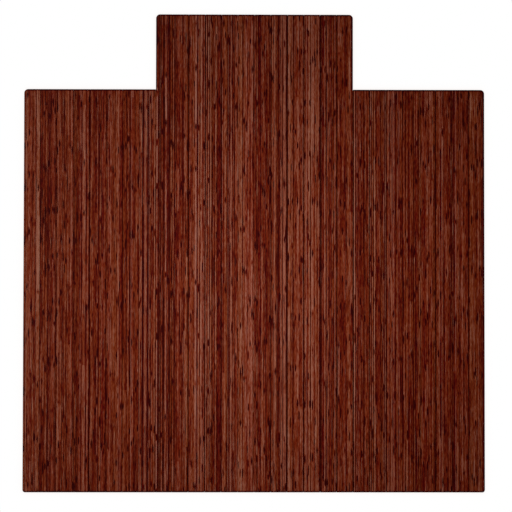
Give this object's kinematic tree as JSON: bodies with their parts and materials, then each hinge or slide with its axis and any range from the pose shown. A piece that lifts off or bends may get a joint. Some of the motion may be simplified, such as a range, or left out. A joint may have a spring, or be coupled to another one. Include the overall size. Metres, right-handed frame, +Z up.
{
  "type": "chair mat",
  "caption": "Roll-up chair mat with a lip: long bamboo slats bonded side by side to a felt backing that bends between them, so the mat rolls up.",
  "frame": {"origin": "centre of the mat's outline at the underside of the felt, on the floor", "axes": "+Z up from the floor, +Y from the user's edge towards the lip that goes under the desk, along the slats; +X across the slats, to the right seen from above"},
  "size_m": [1.3964, 1.448, 0.008],
  "materials": {
    "bamboo": "satin",
    "felt": "matte"
  },
  "bodies": {
    "section_01": {"slat_01": "bamboo", "backing_01": "felt"},
    "section_02": {"slat_02": "bamboo", "backing_02": "felt"},
    "section_03": {"slat_03": "bamboo", "backing_03": "felt"},
    "section_04": {"slat_04": "bamboo", "backing_04": "felt"},
    "section_05": {"slat_05": "bamboo", "backing_05": "felt"},
    "section_06": {"slat_06": "bamboo", "backing_06": "felt"},
    "section_07": {"slat_07": "bamboo", "backing_07": "felt"},
    "section_08": {"slat_08": "bamboo", "backing_08": "felt"},
    "section_09": {"slat_09": "bamboo", "backing_09": "felt"},
    "section_10": {"slat_10": "bamboo", "backing_10": "felt"},
    "section_11": {"slat_11": "bamboo", "backing_11": "felt"},
    "section_12": {"slat_12": "bamboo", "backing_12": "felt"},
    "section_13": {"slat_13": "bamboo", "backing_13": "felt"},
    "section_14": {"slat_14": "bamboo", "backing_14": "felt"},
    "section_15": {"slat_15": "bamboo", "backing_15": "felt"},
    "section_16": {"slat_16": "bamboo", "backing_16": "felt"},
    "section_17": {"slat_17": "bamboo", "backing_17": "felt"},
    "section_18": {"slat_18": "bamboo", "backing_18": "felt"},
    "section_19": {"slat_19": "bamboo", "backing_19": "felt"},
    "section_20": {"slat_20": "bamboo", "backing_20": "felt"},
    "section_21": {"slat_21": "bamboo", "backing_21": "felt"},
    "section_22": {"slat_22": "bamboo", "backing_22": "felt"},
    "section_23": {"slat_23": "bamboo", "backing_23": "felt"},
    "section_24": {"slat_24": "bamboo", "backing_24": "felt"},
    "section_25": {"slat_25": "bamboo", "backing_25": "felt"},
    "section_26": {"slat_26": "bamboo", "backing_26": "felt"},
    "section_27": {"slat_27": "bamboo", "backing_27": "felt"},
    "section_28": {"slat_28": "bamboo", "backing_28": "felt"}
  },
  "joints": [
    {"name": "fold_27", "type": "hinge", "parent": "section_28", "child": "section_27", "pos_m": [0.6487, 0, 0.00075], "axis": [0, -1, 0], "range_deg": [-5, 29.6]},
    {"name": "fold_26", "type": "hinge", "parent": "section_27", "child": "section_26", "pos_m": [0.5988, 0, 0.00075], "axis": [0, -1, 0], "range_deg": [-5, 30]},
    {"name": "fold_25", "type": "hinge", "parent": "section_26", "child": "section_25", "pos_m": [0.5489, 0, 0.00075], "axis": [0, -1, 0], "range_deg": [-5, 30.3]},
    {"name": "fold_24", "type": "hinge", "parent": "section_25", "child": "section_24", "pos_m": [0.499, 0, 0.00075], "axis": [0, -1, 0], "range_deg": [-5, 30.7]},
    {"name": "fold_23", "type": "hinge", "parent": "section_24", "child": "section_23", "pos_m": [0.4491, 0, 0.00075], "axis": [0, -1, 0], "range_deg": [-5, 31.1]},
    {"name": "fold_22", "type": "hinge", "parent": "section_23", "child": "section_22", "pos_m": [0.3992, 0, 0.00075], "axis": [0, -1, 0], "range_deg": [-5, 31.6]},
    {"name": "fold_21", "type": "hinge", "parent": "section_22", "child": "section_21", "pos_m": [0.3493, 0, 0.00075], "axis": [0, -1, 0], "range_deg": [-5, 32]},
    {"name": "fold_20", "type": "hinge", "parent": "section_21", "child": "section_20", "pos_m": [0.2994, 0, 0.00075], "axis": [0, -1, 0], "range_deg": [-5, 32.5]},
    {"name": "fold_19", "type": "hinge", "parent": "section_20", "child": "section_19", "pos_m": [0.2495, 0, 0.00075], "axis": [0, -1, 0], "range_deg": [-5, 33]},
    {"name": "fold_18", "type": "hinge", "parent": "section_19", "child": "section_18", "pos_m": [0.1996, 0, 0.00075], "axis": [0, -1, 0], "range_deg": [-5, 33.5]},
    {"name": "fold_17", "type": "hinge", "parent": "section_18", "child": "section_17", "pos_m": [0.1497, 0, 0.00075], "axis": [0, -1, 0], "range_deg": [-5, 34]},
    {"name": "fold_16", "type": "hinge", "parent": "section_17", "child": "section_16", "pos_m": [0.0998, 0, 0.00075], "axis": [0, -1, 0], "range_deg": [-5, 34.6]},
    {"name": "fold_15", "type": "hinge", "parent": "section_16", "child": "section_15", "pos_m": [0.0499, 0, 0.00075], "axis": [0, -1, 0], "range_deg": [-5, 35.2]},
    {"name": "fold_14", "type": "hinge", "parent": "section_15", "child": "section_14", "pos_m": [0, 0, 0.00075], "axis": [0, -1, 0], "range_deg": [-5, 35.8]},
    {"name": "fold_13", "type": "hinge", "parent": "section_14", "child": "section_13", "pos_m": [-0.0499, 0, 0.00075], "axis": [0, -1, 0], "range_deg": [-5, 36.5]},
    {"name": "fold_12", "type": "hinge", "parent": "section_13", "child": "section_12", "pos_m": [-0.0998, 0, 0.00075], "axis": [0, -1, 0], "range_deg": [-5, 37.1]},
    {"name": "fold_11", "type": "hinge", "parent": "section_12", "child": "section_11", "pos_m": [-0.1497, 0, 0.00075], "axis": [0, -1, 0], "range_deg": [-5, 37.9]},
    {"name": "fold_10", "type": "hinge", "parent": "section_11", "child": "section_10", "pos_m": [-0.1996, 0, 0.00075], "axis": [0, -1, 0], "range_deg": [-5, 38.7]},
    {"name": "fold_09", "type": "hinge", "parent": "section_10", "child": "section_09", "pos_m": [-0.2495, 0, 0.00075], "axis": [0, -1, 0], "range_deg": [-5, 39.5]},
    {"name": "fold_08", "type": "hinge", "parent": "section_09", "child": "section_08", "pos_m": [-0.2994, 0, 0.00075], "axis": [0, -1, 0], "range_deg": [-5, 40.4]},
    {"name": "fold_07", "type": "hinge", "parent": "section_08", "child": "section_07", "pos_m": [-0.3493, 0, 0.00075], "axis": [0, -1, 0], "range_deg": [-5, 41.4]},
    {"name": "fold_06", "type": "hinge", "parent": "section_07", "child": "section_06", "pos_m": [-0.3992, 0, 0.00075], "axis": [0, -1, 0], "range_deg": [-5, 42.4]},
    {"name": "fold_05", "type": "hinge", "parent": "section_06", "child": "section_05", "pos_m": [-0.4491, 0, 0.00075], "axis": [0, -1, 0], "range_deg": [-5, 43.5]},
    {"name": "fold_04", "type": "hinge", "parent": "section_05", "child": "section_04", "pos_m": [-0.499, 0, 0.00075], "axis": [0, -1, 0], "range_deg": [-5, 44.7]},
    {"name": "fold_03", "type": "hinge", "parent": "section_04", "child": "section_03", "pos_m": [-0.5489, 0, 0.00075], "axis": [0, -1, 0], "range_deg": [-5, 46.1]},
    {"name": "fold_02", "type": "hinge", "parent": "section_03", "child": "section_02", "pos_m": [-0.5988, 0, 0.00075], "axis": [0, -1, 0], "range_deg": [-5, 47.5]},
    {"name": "fold_01", "type": "hinge", "parent": "section_02", "child": "section_01", "pos_m": [-0.6487, 0, 0.00075], "axis": [0, -1, 0], "range_deg": [-5, 49.1]}
  ]
}
